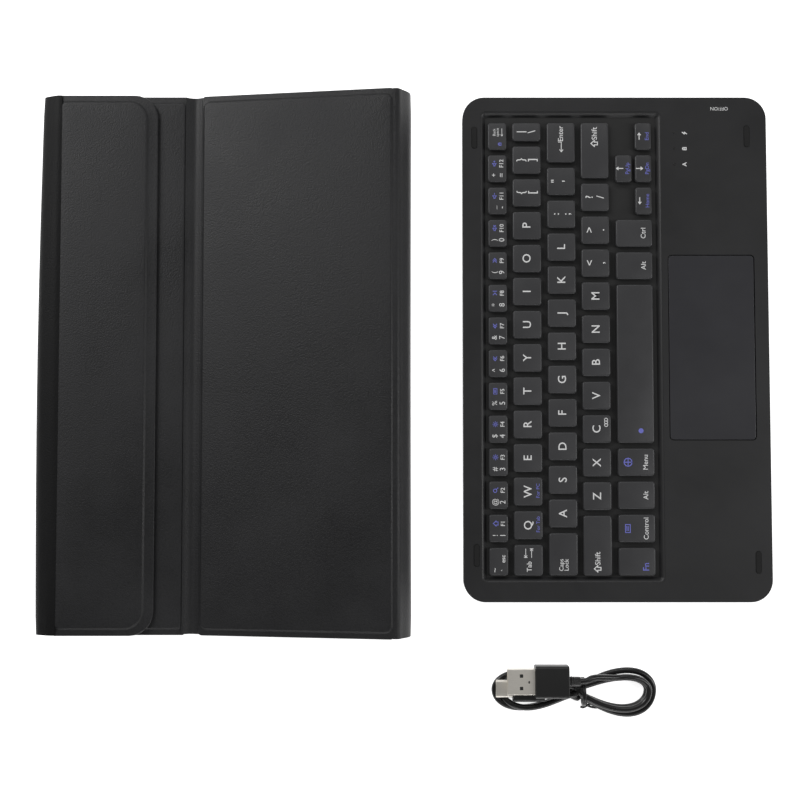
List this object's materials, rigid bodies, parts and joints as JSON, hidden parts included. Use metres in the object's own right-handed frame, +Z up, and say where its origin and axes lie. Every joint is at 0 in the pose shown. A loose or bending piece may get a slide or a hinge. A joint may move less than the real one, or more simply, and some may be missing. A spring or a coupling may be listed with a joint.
{
  "type": "tablet keyboard case",
  "caption": "Folding leather tablet case with a closing flap and fold-out stand, laid out with its slim wireless touchpad keyboard and a short tied charging cable.",
  "frame": {"origin": "bottom centre of the box around the folio and the keyboard, on the surface they lie on", "axes": "+X across the set from the folio to the keyboard, +Y along the long sides towards the end with the power switch, +Z up"},
  "size_m": [0.3508, 0.3006, 0.0292],
  "materials": {
    "outer_leather": "fine-grained matte black synthetic leather",
    "lining": "black brushed microfibre",
    "board": "grey pressed board",
    "magnet_steel": "plain nickel-plated steel",
    "tray_plastic": "matte black moulded plastic",
    "keyboard_plastic": "fine satin black moulded plastic",
    "key_plastic": "satin black keycaps with glossier sides",
    "touchpad_plastic": "smooth satin dark grey",
    "black_rubber": "matte black rubber",
    "dome_rubber": "translucent grey silicone rubber",
    "battery_foil": "silver laminated foil",
    "circuit_board": "green solder mask",
    "plug_metal": "bright nickel-plated steel",
    "lamp_lens": "frosted clear plastic",
    "cable_jacket": "satin black flexible PVC"
  },
  "bodies": {
    "base_cover": {"base_skin": "outer_leather", "base_board": "board", "base_lining": "lining", "base_magnet_bar": "magnet_steel"},
    "left_spine": {"left_spine_skin": "outer_leather"},
    "flap": {"flap_skin": "outer_leather", "flap_board": "board", "flap_lining": "lining", "flap_magnet_bar": "magnet_steel"},
    "tablet_cover": {"rear_skin": "outer_leather", "rear_board": "board", "catch_plate": "magnet_steel", "tablet_tray": "tray_plastic", "crease_skin": "outer_leather"},
    "stand_panel": {"stand_skin": "outer_leather", "stand_board": "board", "stand_lining": "lining"},
    "right_spine": {"right_spine_skin": "outer_leather"},
    "keyboard": {"keyboard_top_case": "keyboard_plastic", "keyboard_bottom_cover": "keyboard_plastic", "key_sheet": "magnet_steel", "dome_mat": "dome_rubber", "battery": "battery_foil", "main_board": "circuit_board", "charge_socket": "plug_metal", "light_guide": "lamp_lens", "keyboard_magnet_bar": "magnet_steel", "bumper_rear_upper": "black_rubber", "bumper_front_upper": "black_rubber", "bumper_rear_lower": "black_rubber", "bumper_front_lower": "black_rubber"},
    "touchpad": {"touchpad": "touchpad_plastic"},
    "power_switch": {"power_switch": "black_rubber"},
    "cable": {"usb_a_shell": "plug_metal", "usb_a_housing": "cable_jacket", "usb_c_shell": "plug_metal", "usb_c_housing": "cable_jacket", "cable_coil": "cable_jacket"},
    "key_escape": {"key_escape": "key_plastic"},
    "key_backspace": {"key_backspace": "key_plastic"},
    "key_tab": {"key_tab": "key_plastic"},
    "key_caps_lock": {"key_caps_lock": "key_plastic"},
    "key_enter": {"key_enter": "key_plastic"},
    "key_left_shift": {"key_left_shift": "key_plastic"},
    "key_right_shift": {"key_right_shift": "key_plastic"},
    "key_fn": {"key_fn": "key_plastic"},
    "key_control": {"key_control": "key_plastic"},
    "key_left_alt": {"key_left_alt": "key_plastic"},
    "key_menu": {"key_menu": "key_plastic"},
    "key_space": {"key_space": "key_plastic"},
    "key_right_alt": {"key_right_alt": "key_plastic"},
    "key_right_ctrl": {"key_right_ctrl": "key_plastic"},
    "key_arrow_left": {"key_arrow_left": "key_plastic"},
    "key_arrow_up": {"key_arrow_up": "key_plastic"},
    "key_arrow_down": {"key_arrow_down": "key_plastic"},
    "key_arrow_right": {"key_arrow_right": "key_plastic"},
    "keys_number_row": {"keys_number_row": "key_plastic"},
    "keys_q_row": {"keys_q_row": "key_plastic"},
    "keys_a_row": {"keys_a_row": "key_plastic"},
    "keys_z_row": {"keys_z_row": "key_plastic"}
  },
  "joints": [
    {"name": "tablet_tilt", "type": "hinge", "parent": "base_cover", "child": "tablet_cover", "pos_m": [-0.00625, 0, 0.00765], "axis": [0, 1, 0], "range_deg": [0, 101]},
    {"name": "crease_fold", "type": "hinge", "parent": "tablet_cover", "child": "stand_panel", "pos_m": [-0.10175, 0, 0.01215], "axis": [0, 1, 0], "range_deg": [-7, 0.2], "deforming": ["crease_skin"]},
    {"name": "right_spine_fold", "type": "hinge", "parent": "base_cover", "child": "right_spine", "pos_m": [-0.00245, 0, 0.0013], "axis": [0, 1, 0], "range_deg": [-0.2, 93], "deforming": ["right_spine_skin"]},
    {"name": "left_spine_fold", "type": "hinge", "parent": "base_cover", "child": "left_spine", "pos_m": [-0.16745, 0, 0.0016], "axis": [0, -1, 0], "range_deg": [0, 90], "deforming": ["left_spine_skin"]},
    {"name": "flap_fold", "type": "hinge", "parent": "left_spine", "child": "flap", "pos_m": [-0.16745, 0, 0.0152], "axis": [0, -1, 0], "range_deg": [0, 90]},
    {"name": "keyboard_lift", "type": "slide", "parent": "base_cover", "child": "keyboard", "axis": [0, 0, 1], "range_m": [0, 0.04]},
    {"name": "cable_lift", "type": "slide", "parent": "base_cover", "child": "cable", "axis": [0, 0, 1], "range_m": [0, 0.04]},
    {"name": "power_slide", "type": "slide", "parent": "keyboard", "child": "power_switch", "axis": [1, 0, 0], "range_m": [0, 0.0024]},
    {"name": "touchpad_press", "type": "slide", "parent": "keyboard", "child": "touchpad", "axis": [0, 0, -1], "range_m": [0, 0.0003], "stiffness_N_per_m": 600, "springref_m": -0.0005},
    {"name": "key_escape_press", "type": "slide", "parent": "keyboard", "child": "key_escape", "axis": [0, 0, -1], "range_m": [0, 0.0015], "stiffness_N_per_m": 280, "springref_m": -0.001, "deforming": ["dome_mat"]},
    {"name": "key_backspace_press", "type": "slide", "parent": "keyboard", "child": "key_backspace", "axis": [0, 0, -1], "range_m": [0, 0.0015], "stiffness_N_per_m": 280, "springref_m": -0.001},
    {"name": "key_tab_press", "type": "slide", "parent": "keyboard", "child": "key_tab", "axis": [0, 0, -1], "range_m": [0, 0.0015], "stiffness_N_per_m": 280, "springref_m": -0.001},
    {"name": "key_caps_lock_press", "type": "slide", "parent": "keyboard", "child": "key_caps_lock", "axis": [0, 0, -1], "range_m": [0, 0.0015], "stiffness_N_per_m": 280, "springref_m": -0.001},
    {"name": "key_enter_press", "type": "slide", "parent": "keyboard", "child": "key_enter", "axis": [0, 0, -1], "range_m": [0, 0.0015], "stiffness_N_per_m": 280, "springref_m": -0.001},
    {"name": "key_left_shift_press", "type": "slide", "parent": "keyboard", "child": "key_left_shift", "axis": [0, 0, -1], "range_m": [0, 0.0015], "stiffness_N_per_m": 280, "springref_m": -0.001},
    {"name": "key_right_shift_press", "type": "slide", "parent": "keyboard", "child": "key_right_shift", "axis": [0, 0, -1], "range_m": [0, 0.0015], "stiffness_N_per_m": 280, "springref_m": -0.001},
    {"name": "key_fn_press", "type": "slide", "parent": "keyboard", "child": "key_fn", "axis": [0, 0, -1], "range_m": [0, 0.0015], "stiffness_N_per_m": 280, "springref_m": -0.001},
    {"name": "key_control_press", "type": "slide", "parent": "keyboard", "child": "key_control", "axis": [0, 0, -1], "range_m": [0, 0.0015], "stiffness_N_per_m": 280, "springref_m": -0.001},
    {"name": "key_left_alt_press", "type": "slide", "parent": "keyboard", "child": "key_left_alt", "axis": [0, 0, -1], "range_m": [0, 0.0015], "stiffness_N_per_m": 280, "springref_m": -0.001},
    {"name": "key_menu_press", "type": "slide", "parent": "keyboard", "child": "key_menu", "axis": [0, 0, -1], "range_m": [0, 0.0015], "stiffness_N_per_m": 280, "springref_m": -0.001},
    {"name": "key_space_press", "type": "slide", "parent": "keyboard", "child": "key_space", "axis": [0, 0, -1], "range_m": [0, 0.0015], "stiffness_N_per_m": 280, "springref_m": -0.001},
    {"name": "key_right_alt_press", "type": "slide", "parent": "keyboard", "child": "key_right_alt", "axis": [0, 0, -1], "range_m": [0, 0.0015], "stiffness_N_per_m": 280, "springref_m": -0.001},
    {"name": "key_right_ctrl_press", "type": "slide", "parent": "keyboard", "child": "key_right_ctrl", "axis": [0, 0, -1], "range_m": [0, 0.0015], "stiffness_N_per_m": 280, "springref_m": -0.001},
    {"name": "key_arrow_left_press", "type": "slide", "parent": "keyboard", "child": "key_arrow_left", "axis": [0, 0, -1], "range_m": [0, 0.0015], "stiffness_N_per_m": 280, "springref_m": -0.001},
    {"name": "key_arrow_up_press", "type": "slide", "parent": "keyboard", "child": "key_arrow_up", "axis": [0, 0, -1], "range_m": [0, 0.0015], "stiffness_N_per_m": 280, "springref_m": -0.001},
    {"name": "key_arrow_down_press", "type": "slide", "parent": "keyboard", "child": "key_arrow_down", "axis": [0, 0, -1], "range_m": [0, 0.0015], "stiffness_N_per_m": 280, "springref_m": -0.001},
    {"name": "key_arrow_right_press", "type": "slide", "parent": "keyboard", "child": "key_arrow_right", "axis": [0, 0, -1], "range_m": [0, 0.0015], "stiffness_N_per_m": 280, "springref_m": -0.001},
    {"name": "keys_number_row_press", "type": "slide", "parent": "keyboard", "child": "keys_number_row", "axis": [0, 0, -1], "range_m": [0, 0.0015], "stiffness_N_per_m": 1500, "springref_m": -0.001},
    {"name": "keys_q_row_press", "type": "slide", "parent": "keyboard", "child": "keys_q_row", "axis": [0, 0, -1], "range_m": [0, 0.0015], "stiffness_N_per_m": 1500, "springref_m": -0.001},
    {"name": "keys_a_row_press", "type": "slide", "parent": "keyboard", "child": "keys_a_row", "axis": [0, 0, -1], "range_m": [0, 0.0015], "stiffness_N_per_m": 1500, "springref_m": -0.001},
    {"name": "keys_z_row_press", "type": "slide", "parent": "keyboard", "child": "keys_z_row", "axis": [0, 0, -1], "range_m": [0, 0.0015], "stiffness_N_per_m": 1500, "springref_m": -0.001}
  ],
  "couplings": [
    {"joint": "crease_fold", "follows": "tablet_tilt", "ratio": -0.06307},
    {"joint": "right_spine_fold", "follows": "tablet_tilt", "ratio": 0.91149}
  ]
}
